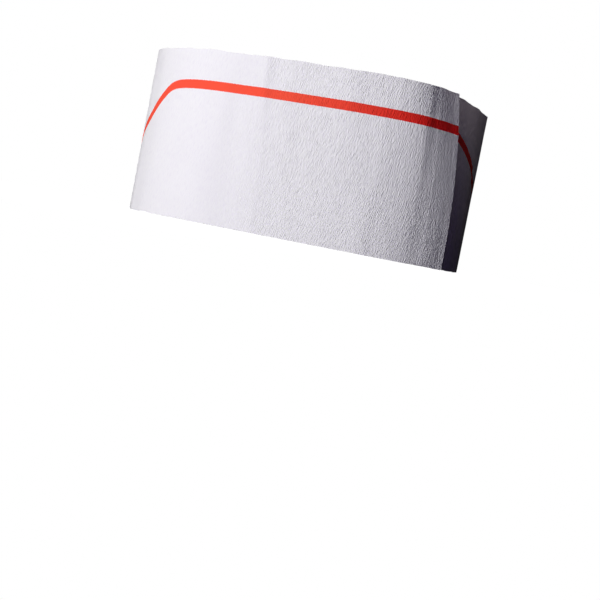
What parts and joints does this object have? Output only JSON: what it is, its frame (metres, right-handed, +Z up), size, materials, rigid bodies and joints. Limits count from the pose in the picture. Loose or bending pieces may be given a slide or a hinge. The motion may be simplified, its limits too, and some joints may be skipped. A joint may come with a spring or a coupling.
{
  "type": "paper soda jerk hat",
  "caption": "Brimless paper hat with upright crepe side walls, a lapped back panel, a recessed valley-folded crown and a thin printed stripe.",
  "frame": {"origin": "on the floor under the middle of the hat's bounding box, at the level of the rim", "axes": "+X from the front fold to the back panel, +Y to the wearer's right, +Z up from the rim to the top edge"},
  "size_m": [0.2, 0.161, 0.096],
  "materials": {
    "printed_crepe_paper": "matt white crepe paper, finely wrinkled upright, with one thin printed red stripe",
    "plain_crepe_paper": "matt white crepe paper, unprinted"
  },
  "bodies": {
    "root": {"side_band": "printed_crepe_paper", "back_panel": "printed_crepe_paper", "crown_sheet": "plain_crepe_paper"}
  },
  "joints": []
}
